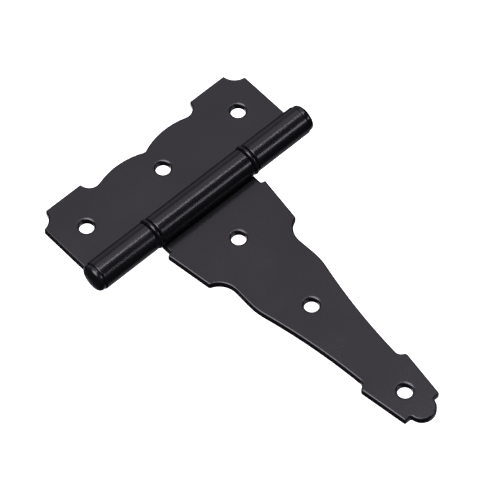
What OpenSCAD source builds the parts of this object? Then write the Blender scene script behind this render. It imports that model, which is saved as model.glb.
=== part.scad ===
// Ornamental T hinge, lying open flat with both leaf backs on z = 0.
// Origin: the middle screw hole of the pad leaf, on its back face.
// +X runs along the strap to its tip, +Y along the pin, +Z out of the front.

/* [Sheet] */
// Thickness of the sheet of both leaves
sheet_t = 2.5; // [2:0.1:3]
// Diameter of the six screw holes
screw_hole_d = 4.7; // [4:0.1:5.4]

/* [Barrel] */
// Diameter of the pin's shank
pin_d = 4.6; // [4:0.1:5.4]
// Length of the centre knuckle, which is the strap leaf's
centre_knuckle_l = 37; // [36:0.2:38]
// Length of each outer knuckle, which are the pad leaf's
outer_knuckle_l = 21; // [20:0.2:23]
// Thickness of the washers between the knuckles
washer_t = 1.4; // [1:0.1:1.8]
// How far the washers stand proud of the knuckles, which are lifted off the leaves' backs by as much
washer_proud = 0.3; // [0.1:0.1:0.5]
// Height of the domed head at each end of the pin
head_h = 2.3; // [2.1:0.1:3]

/* [Pad leaf] */
// Length of the pad leaf along the pin
pad_l = 82.3; // [80:0.1:84]
// Distance between neighbouring pad screw holes
pad_screw_pitch = 31; // [29:0.5:32]
// From the line of pad screw holes to the leaf's outer edge
pad_edge_x = 12.7; // [11.5:0.1:13.5]
// From the line of pad screw holes to the pin's axis
pin_x = 16.7; // [16:0.1:18]
// Radius of the hollow at each outer corner
pad_corner_r = 5.1; // [4:0.1:5.5]
// Radius of the two bulges of the outer edge
bulge_r = 24; // [22:0.1:26]
// Depth of the cusp between the two bulges
cusp_depth = 4.5; // [4.2:0.1:5]

/* [Strap leaf] */
// From the pin's axis to the strap's tip
strap_reach = 101.5; // [99:0.1:104]
// Full width of the strap's neck, at the barrel
neck_w = 37; // [36:0.2:38]
// Full width of the strap at the start of its shoulder
shoulder_w = 39.9; // [39:0.1:40.2]
// Full width of the strap at the end of its shoulder
shoulder_end_w = 35.4; // [34:0.1:37]
// Full width of the strap at its waist
waist_w = 14.5; // [13.6:0.1:15.2]
// Radius of the round end of the tip
tip_r = 4.5; // [3.8:0.1:5]

/* [Hidden] */
$fn = 64;
arc_step = 3;

// Coated black steel, and the pin and washers that are coated with it
leaf_colour = [0.09, 0.09, 0.10];
trim_colour = [0.13, 0.13, 0.14];

// Barrel
pin_clearance = 0.05;
bore_r = pin_d / 2 + pin_clearance;
barrel_r = bore_r + sheet_t;
washer_r = barrel_r + washer_proud;
axis_z = washer_r;
running_gap = 0.3;
seam_angle = 25;
washer_y = centre_knuckle_l / 2 + running_gap;
outer_y = washer_y + washer_t + running_gap;
barrel_end_y = outer_y + outer_knuckle_l;
head_r = barrel_r - 0.35;
head_rim_h = 0.8;
head_shoulder_r = 1.2;
pad_gap = 0.3;

// The last of each leaf before the barrel, over which the sheet rises in two equal and opposite bends
lead_in = washer_r + pad_gap;
lead_in_turn = 2 * atan(washer_proud / lead_in);
lead_in_r = lead_in / (2 * sin(lead_in_turn));

// Pad leaf: each corner hollow is centred just outside its corner, each nick on the outer edge
corner_out = 0.4;
corner = [-pad_edge_x - corner_out, pad_l / 2 + corner_out];
corner_angle = asin(corner_out / pad_corner_r);
nick_r = 3.6;
nick_centre = [-pad_edge_x, 18.7];
cusp = [cusp_depth - pad_edge_x, 0];

// Strap leaf, with x counted from the pin's axis
notch_r = 0.5;
notch_x = 7.1;
shoulder_x = 7.6;
cove_r = 6.6;
cove = [30.2, 19.6];
cove_start = 180 + asin((cove.y - shoulder_end_w / 2) / cove_r);
hip_r = 20.5;
hip = [37.6, 13.3 - hip_r];
flank_r = 210;
waist = [78.3, waist_w / 2];
tip_cove_r = 2.3;
tip_cove = waist + [0, tip_cove_r];
tip_plate = [81.1, 9.3];
tip_end = [97.3, 7];
strap_screws_x = [17.5, 49.7, 89.9];

// Points along an arc about centre c, one at least every 6 degrees and every arc_step
function arc(c, r, from, to) =
    let (turn = abs(to - from), steps = ceil(max(2, turn / 6, turn * PI / 180 * r / arc_step)))
    [for (i = [0:steps]) let (a = from + (to - from) * i / steps) c + r * [cos(a), sin(a)]];

// The direction from p to q, in degrees from 0 to 360
function heading(p, q) = let (a = atan2(q.y - p.y, q.x - p.x)) a < 0 ? a + 360 : a;

// The point at distance r1 from p and r2 from q that lies to the right of the way from p to q
function meet(p, r1, q, r2) =
    let (d = norm(q - p), u = (q - p) / d, along = (r1 * r1 - r2 * r2 + d * d) / (2 * d))
    p + along * u + sqrt(r1 * r1 - along * along) * [u.y, -u.x];

// The angle at which a straight edge rises from below a circle about p onto the top of one about q
function rise(p, r1, q, r2) = atan2(q.y - p.y, q.x - p.x) + asin((r1 + r2) / norm(q - p));

// Both halves of an outline that is symmetric about the X axis, from its +Y half
function both_sides(half) =
    let (last = len(half) - 1)
    concat(half, [for (i = [last:-1:0]) if (half[i].y > 0) [half[i].x, -half[i].y]]);

// The pad leaf's outline, +Y half, from the cusp to the barrel. A bulge runs from the cusp into the nick.
bulge = meet(cusp, bulge_r, nick_centre, bulge_r + nick_r);
pad_half = concat(
    arc(bulge, bulge_r, heading(bulge, cusp), heading(bulge, nick_centre)),
    arc(nick_centre, nick_r, heading(nick_centre, bulge) - 360, 90),
    arc(corner, pad_corner_r, corner_angle - 90, -corner_angle),
    [[pin_x - lead_in, pad_l / 2]]
);

// The strap's outline, +Y half, from the barrel to the tip. A straight edge joins the cove to the
// crest of the hip, and the hip runs into the hollow flank, which ends at the waist.
flank = meet(waist, flank_r, hip, flank_r + hip_r);
hip_rise = rise(cove, cove_r, hip, hip_r);
tip_centre = [strap_reach - tip_r, 0];
strap_half = concat(
    [[lead_in, neck_w / 2]],
    arc([notch_x, neck_w / 2 + notch_r], notch_r, -90, 0),
    [[shoulder_x, shoulder_w / 2]],
    arc(cove, cove_r, cove_start, 270 + hip_rise),
    arc(hip, hip_r, 90 + hip_rise, heading(hip, flank)),
    arc(flank, flank_r, heading(flank, hip), heading(flank, waist)),
    arc(tip_cove, tip_cove_r, 270, 350),
    [tip_plate, tip_end],
    arc(tip_centre, tip_r, acos((tip_end.x - tip_centre.x) / tip_r), 0)
);

// A cylinder of length l along +Y, from y = 0
module along_y(r, l) {
    rotate([-90, 0, 0]) cylinder(r = r, h = l);
}

// One knuckle and its lead-in, about the pin's axis. The sheet arrives from -X at z = 0, rises a
// little, and goes under and round the pin. Its free end stops just above the leaf.
module rolled_knuckle(l) {
    reach = 2 * barrel_r;
    start = [-lead_in, lead_in_r - axis_z];
    end = [0, -barrel_r - lead_in_r];
    translate([0, l, 0])
        rotate([90, 0, 0])
        linear_extrude(l)
        union() {
            difference() {
                circle(barrel_r);
                circle(bore_r);
                polygon([[0, 0], reach * [-cos(seam_angle), -sin(seam_angle)], [-reach, -reach], [0, -reach]]);
            }
            polygon(concat(
                arc(start, lead_in_r, 270, 270 + lead_in_turn),
                arc(end, lead_in_r, 90 + lead_in_turn, 90),
                arc(end, lead_in_r + sheet_t, 90, 90 + lead_in_turn),
                arc(start, lead_in_r - sheet_t, 270 + lead_in_turn, 270)
            ));
        }
}

module screw_hole() {
    translate([0, 0, -1]) cylinder(d = screw_hole_d, h = sheet_t + 2);
}

module pad_leaf() {
    color(leaf_colour)
    union() {
        difference() {
            linear_extrude(sheet_t) polygon(both_sides(pad_half));
            for (i = [-1:1]) translate([0, i * pad_screw_pitch, 0]) screw_hole();
        }
        for (y = [-barrel_end_y, outer_y])
            translate([pin_x, y, axis_z]) rolled_knuckle(outer_knuckle_l);
    }
}

module strap_leaf() {
    color(leaf_colour)
    translate([pin_x, 0, 0])
    union() {
        difference() {
            linear_extrude(sheet_t) polygon(both_sides(strap_half));
            for (x = strap_screws_x) translate([x, 0, 0]) screw_hole();
        }
        translate([0, -centre_knuckle_l / 2, axis_z])
            mirror([1, 0, 0]) rolled_knuckle(centre_knuckle_l);
    }
}

// Half of the pin, from the middle to the top of one head, about the Y axis. The head has a straight
// rim, a round shoulder and a low crown.
module half_pin() {
    shoulder = [head_r - head_shoulder_r, barrel_end_y + head_rim_h];
    over_rim = head_h - head_rim_h;
    crown_r = (pow(shoulder.x, 2) + pow(over_rim, 2) - pow(head_shoulder_r, 2)) / (2 * (over_rim - head_shoulder_r));
    crown_y = barrel_end_y + head_h - crown_r;
    shoulder_end = 90 - asin(shoulder.x / (crown_r - head_shoulder_r));
    rotate([-90, 0, 0])
        rotate_extrude()
        polygon(concat(
            [[0, 0], [pin_d / 2, 0], [pin_d / 2, barrel_end_y], [head_r, barrel_end_y]],
            arc(shoulder, head_shoulder_r, 0, shoulder_end),
            arc([0, crown_y], crown_r, shoulder_end, 90)
        ));
}

module hinge_pin() {
    color(trim_colour)
    translate([pin_x, 0, axis_z])
    union() {
        half_pin();
        mirror([0, 1, 0]) half_pin();
    }
}

module washer() {
    difference() {
        along_y(washer_r, washer_t);
        translate([0, -1, 0]) along_y(bore_r, washer_t + 2);
    }
}

module washer_left() {
    color(trim_colour) translate([pin_x, -washer_y - washer_t, axis_z]) washer();
}

module washer_right() {
    color(trim_colour) translate([pin_x, washer_y, axis_z]) washer();
}

pad_leaf();
strap_leaf();
hinge_pin();
washer_left();
washer_right();
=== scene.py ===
"""The looks of an ornamental T hinge: black powder-coated steel, open flat, above a plain pale floor."""

import bisect
import math

import bmesh
import bpy
from mathutils import Matrix, Quaternion, Vector

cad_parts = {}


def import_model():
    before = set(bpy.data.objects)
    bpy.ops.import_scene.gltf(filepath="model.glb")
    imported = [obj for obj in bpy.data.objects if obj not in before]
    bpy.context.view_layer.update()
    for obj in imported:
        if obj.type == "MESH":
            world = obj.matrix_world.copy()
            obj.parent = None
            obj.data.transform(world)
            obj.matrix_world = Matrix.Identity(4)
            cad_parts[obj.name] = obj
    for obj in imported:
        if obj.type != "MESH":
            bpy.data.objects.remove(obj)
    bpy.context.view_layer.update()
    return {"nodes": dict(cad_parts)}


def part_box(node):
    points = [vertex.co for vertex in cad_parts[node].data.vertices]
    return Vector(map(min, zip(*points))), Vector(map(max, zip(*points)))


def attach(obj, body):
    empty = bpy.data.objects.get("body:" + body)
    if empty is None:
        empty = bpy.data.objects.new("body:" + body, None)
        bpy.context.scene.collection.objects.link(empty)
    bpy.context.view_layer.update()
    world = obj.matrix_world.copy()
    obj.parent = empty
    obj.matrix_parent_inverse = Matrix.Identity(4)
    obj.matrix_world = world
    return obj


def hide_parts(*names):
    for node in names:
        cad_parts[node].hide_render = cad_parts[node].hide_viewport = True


MM = 0.001

# How near two CAD points lie to be one, and to the back face's plane to be on it, in metres
SAME_POINT = 1e-6
ON_BACK_FACE = 2e-6

# The sheet and its rolled barrel, in millimetres and radians
SHEET_T = 2.5
SHANK_R = 2.3
RUNNING_GAP = 0.3
BORE_CLEARANCE = 0.05
ROLL_ANGLE = math.radians(294)
ROLL_STEP = math.radians(3)
LEAD_IN_STEPS = 12
CUT_TOLERANCE = 1e-4
BARREL_EDGE_TOLERANCE = 0.02
SHORTEST_STEP = 1e-3

# The rounding of the sheet's edges. A hole's front rim is drawn in further than it is deep.
EDGE_R = 0.6
BACK_EDGE_R = 0.45
HOLE_RIM_INSET = 0.95
HOLE_RIM_DEPTH = 0.5
EDGE_STEPS = 5
HOLE_POINTS = 72

# The rounding of an outline's sharp corners, and the room that it leaves for the rounded edge
SHARP_TURN = math.radians(18)
STRAIGHT_TURN = 1e-4
CORNER_SPREAD = 0.4
CORNER_REACH = 2.4
CORNER_POINTS = 16
CORNER_ROOM = 0.8
ROOM_SLOPE = 0.5
SPREAD_STEPS = 9
STATION_GAP = 0.05

# The pin's heads and the washers, in millimetres
HEAD_RIM_H = 0.8
HEAD_RIM_EDGE_R = 0.2
HEAD_RIM_EDGE_STEPS = 4
HEAD_SHOULDER_R = 1.2
HEAD_SHOULDER_STEPS = 16
HEAD_CROWN_STEPS = 8
WASHER_EDGE_R = 0.65
WASHER_EDGE_STEPS = 6
TURN_POINTS = 96

# The powder coat. Clouds, orange peel and grit have their scales per metre and their depths in metres.
# Clouds vary the shade and the roughness, grit the roughness only, and the coat is paler on edges.
LEAF_COLOUR = (0.004, 0.0039, 0.0046)
PIN_COLOUR = (0.004, 0.004, 0.0046)
CLOUD_SHADES = (0.85, 1.2)
EDGE_SHADE = 1.9
EDGE_SHARE = 0.5
COAT_ROUGHNESS = 0.22
CLOUD_ROUGHNESS = (-0.03, 0.04)
GRIT_ROUGHNESS = (-0.03, 0.05)
CLOUD_SCALE = 45
PEEL_SCALE = 900
GRIT_SCALE = 4200
NOISE_ROUGHNESS = 0.55
PEEL_DEPTH = 0.00004
PEEL_STRENGTH = 0.25
GRIT_DEPTH = 0.00002
GRIT_STRENGTH = 0.1

# The camera, in degrees and millimetres
CAMERA_AZIMUTH = 48.05
CAMERA_ELEVATION = 57.96
CAMERA_ROLL = 0.69
CAMERA_TARGET = (38.57, 0.59, 0)
CAMERA_DISTANCE = 1155.2
CAMERA_LENS = 276
SENSOR_WIDTH = 36

# The floor, which is low enough for the strap to hang down, in millimetres, and the surroundings
FLOOR_DROP = 160
FLOOR_SIZE = 6000
FLOOR_COLOUR = (0.9, 0.9, 0.9, 1)
FLOOR_GLOW = 0.9
DIM_COLOUR = (0.5, 0.52, 0.55, 1)
DIM_STRENGTH = 0.05
WHITE = (1, 1, 1, 1)

# Each soft light's name, shape, place from the hinge's middle and size in metres, and radiance
LIGHT_TARGET = (30, 0, 5)
LIGHT_COLOUR = (1.0, 0.94, 1.065)
SOFTBOXES = (
    ("overhead", "RECTANGLE", (-0.38, 0.32, 0.75), (0.75, 0.9), 0.82),
    ("dish", "ELLIPSE", (-0.09, -0.32, 0.9), (0.76, 0.95), 6.5),
    ("strip", "RECTANGLE", (-0.06, 0.25, 0.9), (0.075, 0.4), 8.5),
    ("side", "RECTANGLE", (0.7, 0.51, 0.51), (0.16, 0.4), 5.5),
    ("fill", "RECTANGLE", (-0.88, 0.27, 0.18), (0.6, 0.9), 0.33),
    ("under", "RECTANGLE", (0.2, 0.35, -0.8), (1.0, 0.5), 0.25),
    ("under_head", "RECTANGLE", (-0.4, 0.12, -0.85), (0.8, 0.5), 1.1),
)


# Outlines -------------------------------------------------------------------------------------


def chains(edges):
    """The closed loops of vertices that a set of edges makes."""
    links = {}
    for edge in edges:
        a, b = edge.verts
        links.setdefault(a, []).append(b)
        links.setdefault(b, []).append(a)
    loops = []
    while links:
        start = next(iter(links))
        loop, here, before = [start], links[start][0], start
        while here is not start:
            loop.append(here)
            here, before = next(v for v in links[here] if v is not before), here
        for vert in loop:
            del links[vert]
        loops.append(loop)
    return loops


def back_face_loops(node):
    """The loops round a CAD leaf's flat back face, in millimetres, as (x, y) vectors."""
    bm = bmesh.new()
    bm.from_mesh(frame["nodes"][node].data)
    bmesh.ops.remove_doubles(bm, verts=bm.verts, dist=SAME_POINT)
    back = {f for f in bm.faces if all(abs(v.co.z) < ON_BACK_FACE for v in f.verts)}
    rim = [e for e in bm.edges if sum(f in back for f in e.link_faces) == 1]
    loops = [[Vector(v.co.xy) / MM for v in loop] for loop in chains(rim)]
    bm.free()
    return loops


def area(loop):
    """The area inside a loop, positive when it runs anticlockwise."""
    return sum(a.cross(b) for a, b in zip(loop, loop[1:] + loop[:1])) / 2


def turn_at(loop, i):
    """How far the way along a loop turns at one of its points, positive to the left."""
    before = loop[i] - loop[i - 1]
    after = loop[(i + 1) % len(loop)] - loop[i]
    return math.atan2(before.cross(after), before.dot(after))


def without_straight_points(loop):
    """A loop without the points at which it runs straight on."""
    return [p for i, p in enumerate(loop) if abs(turn_at(loop, i)) > STRAIGHT_TURN]


def soften(loop):
    """Rounds the sharp corners of a loop by averaging its points along the way, near each corner only."""
    n = len(loop)
    along = [0.0]
    for i in range(n):
        along.append(along[-1] + (loop[(i + 1) % n] - loop[i]).length)
    total = along[-1]
    corners = [along[i] for i in range(n) if abs(turn_at(loop, i)) > SHARP_TURN]

    def point(s):
        i = min(bisect.bisect_right(along, s % total), n) - 1
        return loop[i].lerp(loop[(i + 1) % n], (s % total - along[i]) / (along[i + 1] - along[i]))

    def to_corner(s):
        return min(min((s - c) % total, (c - s) % total) for c in corners)

    stations = {round(s, 4) for s in along[:-1] if to_corner(s) > CORNER_REACH}
    for c in corners:
        for k in range(-CORNER_POINTS, CORNER_POINTS + 1):
            s = round((c + CORNER_REACH * k / CORNER_POINTS) % total, 4)
            if all(abs(s - other) > STATION_GAP for other in stations):
                stations.add(s)
    result = []
    for s in sorted(stations):
        spread = CORNER_SPREAD * min(1, max(0, 2 - 2 * to_corner(s) / CORNER_REACH))
        summed, weight = Vector((0, 0)), 0
        for k in range(-SPREAD_STEPS, SPREAD_STEPS + 1):
            away = 3 * k / SPREAD_STEPS
            share = math.exp(-away * away / 2)
            summed += share * point(s + away * spread)
            weight += share
        result.append(summed / weight)
    return result


def edge_room(loop):
    """The share of the full edge rounding that each point of a loop has room for.

    It is small where the loop turns tightly, and grows slowly away from there."""
    n = len(loop)
    steps = [(loop[(i + 1) % n] - loop[i]).length for i in range(n)]
    room = []
    for i in range(n):
        turn = max(turn_at(loop, i), 1e-6)
        room.append(min(1, CORNER_ROOM * (steps[i - 1] + steps[i]) / 2 / turn / EDGE_R))
    for k in range(2 * n):
        room[k % n] = min(room[k % n], room[k % n - 1] + ROOM_SLOPE * steps[k % n - 1])
    for k in range(2 * n, 0, -1):
        room[k % n - 1] = min(room[k % n - 1], room[k % n] + ROOM_SLOPE * steps[k % n - 1])
    return room


def inset(loop, distance, room):
    """Moves a loop sideways to its left, which is into the sheet, as far as there is room."""
    moved = []
    for i, p in enumerate(loop):
        before = (p - loop[i - 1]).normalized()
        after = (loop[(i + 1) % len(loop)] - p).normalized()
        left = (Vector((-before.y, before.x)) + Vector((-after.y, after.x))).normalized()
        half_turn = math.cos(turn_at(loop, i) / 2)
        moved.append(p + left * distance * room[i] / half_turn)
    return moved


def outward(loop, i):
    """The unit vector out of the sheet at one of a loop's points."""
    before = (loop[i] - loop[i - 1]).normalized()
    after = (loop[(i + 1) % len(loop)] - loop[i]).normalized()
    return (Vector((before.y, -before.x)) + Vector((after.y, -after.x))).normalized()


# Sheet metal ----------------------------------------------------------------------------------


def edge_profile(front_inset, front_depth):
    """The sheet's rounded edge, from back to front.

    Each point is its inset, its height, and the outward and upward shares of its normal."""
    profile = []
    for inset_r, depth, centre, start in (
        (BACK_EDGE_R, BACK_EDGE_R, BACK_EDGE_R, -90),
        (front_inset, front_depth, SHEET_T - front_depth, 0),
    ):
        for j in range(EDGE_STEPS + 1):
            angle = math.radians(start + 90 * j / EDGE_STEPS)
            out, up = math.cos(angle), math.sin(angle)
            normal = Vector((out * depth, up * inset_r)).normalized()
            profile.append((inset_r * (1 - out), centre + depth * up, normal.x, normal.y))
    return profile


def flat_sheet(loops):
    """A closed sheet with rounded edges, from its outer loop and its holes.

    Its true normals, and how far each vertex faces outward, are kept in layers."""
    bm = bmesh.new()
    normal = bm.verts.layers.float_vector.new("true_normal")
    edge = bm.verts.layers.float.new("edge_wear")
    caps = {0: [], 1: []}
    for loop in loops:
        rings = []
        is_hole = loop is not loops[0]
        profile = edge_profile(HOLE_RIM_INSET, HOLE_RIM_DEPTH) if is_hole else edge_profile(EDGE_R, EDGE_R)
        room = edge_room(loop)
        for distance, height, out, up in profile:
            ring = []
            for i, p in enumerate(inset(loop, distance, room)):
                vert = bm.verts.new((p.x, p.y, height))
                side = outward(loop, i)
                vert[normal] = Vector((side.x * out, side.y * out, up))
                vert[edge] = out
                ring.append(vert)
            rings.append(ring)
        for low, high in zip(rings, rings[1:]):
            for i in range(len(loop)):
                k = (i + 1) % len(loop)
                bm.faces.new((low[i], low[k], high[k], high[i]))
        for end, ring in ((0, rings[0]), (1, rings[-1])):
            caps[end] += [bm.edges.get((ring[i - 1], ring[i])) for i in range(len(ring))]
    for end, up in ((0, -1), (1, 1)):
        bmesh.ops.triangle_fill(bm, edges=caps[end], use_beauty=True, normal=(0, 0, up))
    bmesh.ops.recalc_face_normals(bm, faces=bm.faces)
    return bm


def roll(bm, direction, lead_in):
    """Lifts the last of the sheet before the pin's axis, and rolls what lies past it up and round the pin."""
    normal = bm.verts.layers.float_vector["true_normal"]
    pin_x, axis_z, barrel_r = barrel()
    mid_r = barrel_r - SHEET_T / 2
    lift = axis_z - barrel_r
    cuts = [-lead_in * k / LEAD_IN_STEPS for k in range(1, LEAD_IN_STEPS + 1)]
    cuts += [k * ROLL_STEP * mid_r for k in range(int(ROLL_ANGLE / ROLL_STEP) + 1)]
    for cut in cuts:
        bmesh.ops.bisect_plane(
            bm,
            geom=bm.verts[:] + bm.edges[:] + bm.faces[:],
            dist=CUT_TOLERANCE,
            plane_co=(cut, 0, 0),
            plane_no=(1, 0, 0),
        )
    for vert in bm.verts:
        x, y, z = vert.co
        angle = 0
        if x > 0:
            angle = x / mid_r
            x, z = (barrel_r - z) * math.sin(angle), axis_z - (barrel_r - z) * math.cos(angle)
        elif x > -lead_in:
            t = 1 + x / lead_in
            z += lift * (2 * t * t if t < 0.5 else 1 - 2 * (1 - t) ** 2)
            angle = math.atan(lift / lead_in * 4 * min(t, 1 - t))
        vert[normal] = Matrix.Rotation(-angle, 3, "Y") @ vert[normal]
        vert[normal].x *= direction
        vert.co = Vector((pin_x + direction * x, y, z)) * MM
    bmesh.ops.recalc_face_normals(bm, faces=bm.faces)


def with_normals(bm, name):
    """An object made from a mesh whose vertices carry their true normals."""
    mesh = bpy.data.meshes.new(name)
    bm.to_mesh(mesh)
    bm.free()
    mesh.polygons.foreach_set("use_smooth", [True] * len(mesh.polygons))
    layer = mesh.attributes["true_normal"].data
    mesh.normals_split_custom_set_from_vertices([Vector(d.vector).normalized() for d in layer])
    mesh.attributes.remove(mesh.attributes["true_normal"])
    piece = bpy.data.objects.new(name, mesh)
    bpy.context.collection.objects.link(piece)
    return piece


def hole_circle(loop):
    """A screw hole's edge as an even clockwise circle, so that the sheet is on its left."""
    centre = sum(loop, Vector((0, 0))) / len(loop)
    radius = sum((p - centre).length for p in loop) / len(loop)
    circle = []
    for i in range(HOLE_POINTS):
        angle = -math.tau * i / HOLE_POINTS
        circle.append(centre + radius * Vector((math.cos(angle), math.sin(angle))))
    return circle


def developed(outer, tabs, lead_in, length):
    """Adds the flat blanks of the knuckles to an outline whose barrel edge lies at x = -lead_in."""
    result = []
    for i, p in enumerate(outer):
        q = outer[(i + 1) % len(outer)]
        result.append(p)
        if min(p.x, q.x) < -lead_in - BARREL_EDGE_TOLERANCE:
            continue
        for low, high in sorted(tabs, reverse=p.y > q.y):
            near, far = (low, high) if p.y < q.y else (high, low)
            result += [Vector((-lead_in, near)), Vector((length, near))]
            result += [Vector((length, far)), Vector((-lead_in, far))]
    return [p for i, p in enumerate(result) if (p - result[i - 1]).length > SHORTEST_STEP]


def leaf(node, name, direction, tabs):
    """One leaf with its rolled knuckles. Direction is +1 where the sheet reaches the barrel along +X."""
    pin_x, axis_z, barrel_r = barrel()
    length = ROLL_ANGLE * (barrel_r - SHEET_T / 2)
    loops = sorted(back_face_loops(node), key=lambda loop: -abs(area(loop)))
    local = [[Vector((direction * (p.x - pin_x), p.y)) for p in loop] for loop in loops]
    outer = local[0] if area(local[0]) > 0 else local[0][::-1]
    lead_in = -max(p.x for p in outer)
    outer = developed(without_straight_points(outer), tabs, lead_in, length)
    bm = flat_sheet([soften(outer)] + [hole_circle(loop) for loop in local[1:]])
    roll(bm, direction, lead_in)
    return with_normals(bm, name)


# Turned pieces --------------------------------------------------------------------------------


def rounded(centre, radius, start, sweep, steps):
    """Points of a profile's arc about a centre, from an angle on anticlockwise."""
    points = []
    for j in range(steps + 1):
        angle = math.radians(start + sweep * j / steps)
        points.append((centre[0] + radius * math.cos(angle), centre[1] + radius * math.sin(angle)))
    return points


def turned(name, profile, closed):
    """A piece turned about the pin's axis, from (radius, y) points in millimetres."""
    pin_x, axis_z, _ = barrel()
    bm = bmesh.new()
    rings = []
    for radius, y in profile:
        if radius < 1e-6:
            rings.append([bm.verts.new((pin_x * MM, y * MM, axis_z * MM))])
            continue
        ring = []
        for i in range(TURN_POINTS):
            angle = math.tau * i / TURN_POINTS
            x, z = pin_x + radius * math.cos(angle), axis_z + radius * math.sin(angle)
            ring.append(bm.verts.new((x * MM, y * MM, z * MM)))
        rings.append(ring)
    pairs = list(zip(rings, rings[1:]))
    if closed:
        pairs.append((rings[-1], rings[0]))
    for low, high in pairs:
        for i in range(TURN_POINTS):
            k = (i + 1) % TURN_POINTS
            corners = [low[i % len(low)], low[k % len(low)], high[k % len(high)], high[i % len(high)]]
            bm.faces.new(list(dict.fromkeys(corners)))
    bmesh.ops.recalc_face_normals(bm, faces=bm.faces)
    mesh = bpy.data.meshes.new(name)
    bm.to_mesh(mesh)
    bm.free()
    mesh.polygons.foreach_set("use_smooth", [True] * len(mesh.polygons))
    piece = bpy.data.objects.new(name, mesh)
    bpy.context.collection.objects.link(piece)
    weighted = piece.modifiers.new("even_normals", "WEIGHTED_NORMAL")
    weighted.weight = 80
    return piece


def barrel():
    """The x and the height of the pin's axis and the knuckles' radius, in millimetres."""
    low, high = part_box("hinge_pin")
    axis_z = (low.z + high.z) / 2 / MM
    return (low.x + high.x) / 2 / MM, axis_z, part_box("pad_leaf")[1].z / MM - axis_z


def head_half(top_y, knuckle_y, head_r):
    """The profile of one head, from the knuckle's end out to the crown on the axis."""
    rim = (head_r - HEAD_RIM_EDGE_R, knuckle_y + HEAD_RIM_EDGE_R)
    edge = rounded(rim, HEAD_RIM_EDGE_R, -90, 90, HEAD_RIM_EDGE_STEPS)
    shoulder = (head_r - HEAD_SHOULDER_R, knuckle_y + HEAD_RIM_H)
    rise = top_y - shoulder[1]
    crown_r = (shoulder[0] ** 2 + rise ** 2 - HEAD_SHOULDER_R ** 2) / (2 * (rise - HEAD_SHOULDER_R))
    crown_half = math.degrees(math.asin(shoulder[0] / (crown_r - HEAD_SHOULDER_R)))
    round_off = rounded(shoulder, HEAD_SHOULDER_R, 0, 90 - crown_half, HEAD_SHOULDER_STEPS)
    crown = rounded((0, top_y - crown_r), crown_r, 90 - crown_half, crown_half, HEAD_CROWN_STEPS)
    return edge + round_off + crown[1:]


def hinge_pin(knuckle_y):
    """The pin with its two heads, which sit on the outer knuckles' ends."""
    low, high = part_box("hinge_pin")
    head_r = (high.z - low.z) / 2 / MM
    half = [(SHANK_R, knuckle_y)] + head_half(high.y / MM, knuckle_y, head_r)
    profile = [(r, -y) for r, y in reversed(half)] + half
    return turned("pin_with_heads", profile, closed=False)


def washer(node):
    """One washer, with rounded outer edges."""
    low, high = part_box(node)
    outer_r, inner_r = (high.z - low.z) / 2 / MM, SHANK_R + BORE_CLEARANCE
    r, left, right = WASHER_EDGE_R, low.y / MM, high.y / MM
    profile = rounded((outer_r - r, left + r), r, -90, 90, WASHER_EDGE_STEPS)
    profile += rounded((outer_r - r, right - r), r, 0, 90, WASHER_EDGE_STEPS)
    profile += [(inner_r, right), (inner_r, left)]
    return turned(node + "_ring", profile, closed=True)


# Materials ------------------------------------------------------------------------------------


def node_of(tree, kind, place, **values):
    """A shader node at a place, with its properties and its sockets' values set by name."""
    made = tree.nodes.new(kind)
    made.location = place
    for key, value in values.items():
        if hasattr(made, key):
            setattr(made, key, value)
        else:
            made.inputs[key.replace("_", " ")].default_value = value
    return made


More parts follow.
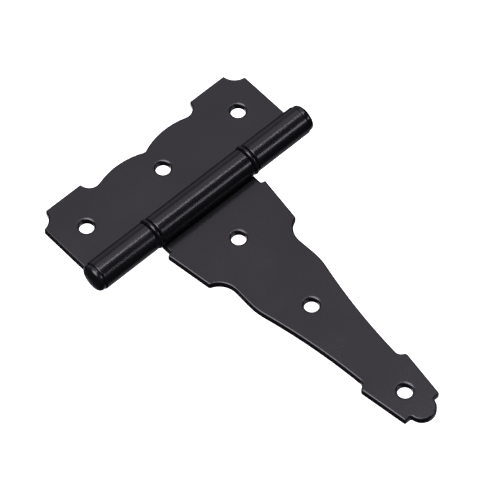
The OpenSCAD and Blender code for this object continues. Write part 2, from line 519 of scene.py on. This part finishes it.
def powder_coat(name, colour, seed):
    """Satin black powder coat: orange peel, fine grit, uneven gloss, and a thinner, paler coat on edges."""
    material = bpy.data.materials.new(name)
    material.use_nodes = True
    tree = material.node_tree
    tree.nodes.clear()
    link = tree.links.new
    output = node_of(tree, "ShaderNodeOutputMaterial", (900, 0))
    shader = node_of(tree, "ShaderNodeBsdfPrincipled", (600, 0))
    shader.inputs["IOR"].default_value = 1.5
    shader.inputs["Metallic"].default_value = 0
    link(shader.outputs["BSDF"], output.inputs["Surface"])

    coords = node_of(tree, "ShaderNodeTexCoord", (-1200, 0))
    shift = node_of(tree, "ShaderNodeMapping", (-1000, 0))
    shift.inputs["Location"].default_value = (seed, seed * 0.37, seed * 0.71)
    link(coords.outputs["Object"], shift.inputs["Vector"])

    def noise(place, scale, detail):
        made = node_of(tree, "ShaderNodeTexNoise", place, Scale=scale, Detail=detail)
        made.inputs["Roughness"].default_value = NOISE_ROUGHNESS
        link(shift.outputs["Vector"], made.inputs["Vector"])
        return made

    def ranged(source, low, high, place, source_low=0.3, source_high=0.7):
        made = node_of(tree, "ShaderNodeMapRange", place)
        made.inputs["From Min"].default_value = source_low
        made.inputs["From Max"].default_value = source_high
        made.inputs["To Min"].default_value = low
        made.inputs["To Max"].default_value = high
        link(source, made.inputs["Value"])
        return made

    cloud = noise((-800, 300), CLOUD_SCALE, 3)
    peel = noise((-800, 0), PEEL_SCALE, 2)
    grit = noise((-800, -300), GRIT_SCALE, 2)
    wear = node_of(tree, "ShaderNodeAttribute", (-800, 600), attribute_name="edge_wear")

    shade = node_of(tree, "ShaderNodeMix", (-300, 400), data_type="RGBA")
    shade.inputs["A"].default_value = (*[c * CLOUD_SHADES[0] for c in colour], 1)
    shade.inputs["B"].default_value = (*[c * CLOUD_SHADES[1] for c in colour], 1)
    link(ranged(cloud.outputs["Fac"], 0, 1, (-550, 400)).outputs["Result"], shade.inputs["Factor"])
    worn = node_of(tree, "ShaderNodeMix", (0, 400), data_type="RGBA")
    worn.inputs["B"].default_value = (*[c * EDGE_SHADE for c in colour], 1)
    link(shade.outputs["Result"], worn.inputs["A"])
    wear_share = ranged(wear.outputs["Fac"], 0, EDGE_SHARE, (-300, 650), 0.3, 1)
    link(wear_share.outputs["Result"], worn.inputs["Factor"])
    link(worn.outputs["Result"], shader.inputs["Base Color"])

    gloss = ranged(cloud.outputs["Fac"], *[COAT_ROUGHNESS + r for r in CLOUD_ROUGHNESS], (-550, 150))
    speck = ranged(grit.outputs["Fac"], *GRIT_ROUGHNESS, (-550, -250))
    total = node_of(tree, "ShaderNodeMath", (-300, 100), operation="ADD")
    link(gloss.outputs["Result"], total.inputs[0])
    link(speck.outputs["Result"], total.inputs[1])
    link(total.outputs["Value"], shader.inputs["Roughness"])

    fine = node_of(tree, "ShaderNodeBump", (0, -300))
    fine.inputs["Strength"].default_value = GRIT_STRENGTH
    fine.inputs["Distance"].default_value = GRIT_DEPTH
    link(grit.outputs["Fac"], fine.inputs["Height"])
    broad = node_of(tree, "ShaderNodeBump", (250, -200))
    broad.inputs["Strength"].default_value = PEEL_STRENGTH
    broad.inputs["Distance"].default_value = PEEL_DEPTH
    link(peel.outputs["Fac"], broad.inputs["Height"])
    link(fine.outputs["Normal"], broad.inputs["Normal"])
    link(broad.outputs["Normal"], shader.inputs["Normal"])
    return material


# Floor, light and camera ----------------------------------------------------------------------


def softbox(name, shape, place, size, radiance):
    """A soft light that faces the hinge, at a place counted in metres from the hinge's middle."""
    light = bpy.data.lights.new(name, "AREA")
    light.shape = shape
    light.size, light.size_y = size
    filled = size[0] * size[1] * (math.pi / 4 if shape == "ELLIPSE" else 1)
    light.energy = radiance * math.pi * filled
    light.color = LIGHT_COLOUR
    lamp = bpy.data.objects.new(name, light)
    bpy.context.collection.objects.link(lamp)
    out = Vector(place).normalized()
    side = Vector((0, 1, 0)).cross(out).normalized()
    lamp.rotation_mode = "QUATERNION"
    lamp.rotation_quaternion = Matrix((side, out.cross(side), out)).transposed().to_quaternion()
    lamp.location = Vector(LIGHT_TARGET) * MM + Vector(place)
    lamp.visible_camera = False


def camera():
    """The camera, turned to its target and then rolled a little."""
    data = bpy.data.cameras.new("camera")
    data.lens = CAMERA_LENS
    data.sensor_width = SENSOR_WIDTH
    data.clip_start = 0.01
    data.clip_end = 100
    view = bpy.data.objects.new("camera", data)
    bpy.context.collection.objects.link(view)
    a, e = math.radians(CAMERA_AZIMUTH), math.radians(CAMERA_ELEVATION)
    back = Vector((math.sin(a) * math.cos(e), -math.cos(a) * math.cos(e), math.sin(e)))
    target = Vector(CAMERA_TARGET) * MM
    view.location = target + back * CAMERA_DISTANCE * MM
    facing = (-back).to_track_quat("-Z", "Y")
    view.rotation_mode = "QUATERNION"
    view.rotation_quaternion = facing @ Quaternion((0, 0, 1), math.radians(-CAMERA_ROLL))
    bpy.context.scene.camera = view


def floor():
    """A plain pale floor, well below the hinge. It casts no shadow and isn't mirrored in the coat."""
    bpy.ops.mesh.primitive_plane_add(size=FLOOR_SIZE * MM, location=(0, 0, -FLOOR_DROP * MM))
    ground = bpy.context.object
    ground.name = "floor"
    material = bpy.data.materials.new("pale_floor")
    material.use_nodes = True
    shader = material.node_tree.nodes["Principled BSDF"]
    shader.inputs["Base Color"].default_value = FLOOR_COLOUR
    shader.inputs["Roughness"].default_value = 0.9
    shader.inputs["Specular IOR Level"].default_value = 0.1
    shader.inputs["Emission Color"].default_value = WHITE
    shader.inputs["Emission Strength"].default_value = FLOOR_GLOW
    ground.data.materials.append(material)
    ground.visible_glossy = False
    ground.visible_diffuse = False
    ground.visible_shadow = False


def world():
    """Dim surroundings. The camera itself sees them as pale as the floor."""
    made = bpy.data.worlds.new("surroundings")
    made.use_nodes = True
    tree = made.node_tree
    tree.nodes.clear()
    output = node_of(tree, "ShaderNodeOutputWorld", (400, 0))
    mix = node_of(tree, "ShaderNodeMixShader", (200, 0))
    path = node_of(tree, "ShaderNodeLightPath", (-200, 200))
    dim = node_of(tree, "ShaderNodeBackground", (-200, 0), Color=DIM_COLOUR, Strength=DIM_STRENGTH)
    pale = node_of(tree, "ShaderNodeBackground", (-200, -200), Color=WHITE, Strength=1.0)
    tree.links.new(path.outputs["Is Camera Ray"], mix.inputs["Fac"])
    tree.links.new(dim.outputs["Background"], mix.inputs[1])
    tree.links.new(pale.outputs["Background"], mix.inputs[2])
    tree.links.new(mix.outputs["Shader"], output.inputs["Surface"])
    bpy.context.scene.world = made


def finish_piece(piece, body, node, material):
    """Coats a piece, and has it ride on its body in place of a CAD node."""
    piece.data.materials.append(material)
    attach(piece, body)
    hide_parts(node)


# Build ----------------------------------------------------------------------------------------

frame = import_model()

washer_low, washer_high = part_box("washer_right")
centre_end = washer_low.y / MM - RUNNING_GAP
outer_start = washer_high.y / MM + RUNNING_GAP
outer_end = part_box("pad_leaf")[1].y / MM

pad_coat = powder_coat("leaf_powder_coat", LEAF_COLOUR, 0.0)
strap_coat = powder_coat("strap_powder_coat", LEAF_COLOUR, 0.4)
pin_coat = powder_coat("pin_powder_coat", PIN_COLOUR, 0.8)

pad = leaf("pad_leaf", "pad_leaf_sheet", 1, [(-outer_end, -outer_start), (outer_start, outer_end)])
finish_piece(pad, "pad", "pad_leaf", pad_coat)

strap = leaf("strap_leaf", "strap_leaf_sheet", -1, [(-centre_end, centre_end)])
finish_piece(strap, "strap", "strap_leaf", strap_coat)

finish_piece(hinge_pin(outer_end), "pad", "hinge_pin", pin_coat)
for node, body in (("washer_left", "washer_low"), ("washer_right", "washer_high")):
    finish_piece(washer(node), body, node, pin_coat)

floor()
world()
for row in SOFTBOXES:
    softbox(*row)
camera()
bpy.context.scene.view_settings.view_transform = "Standard"
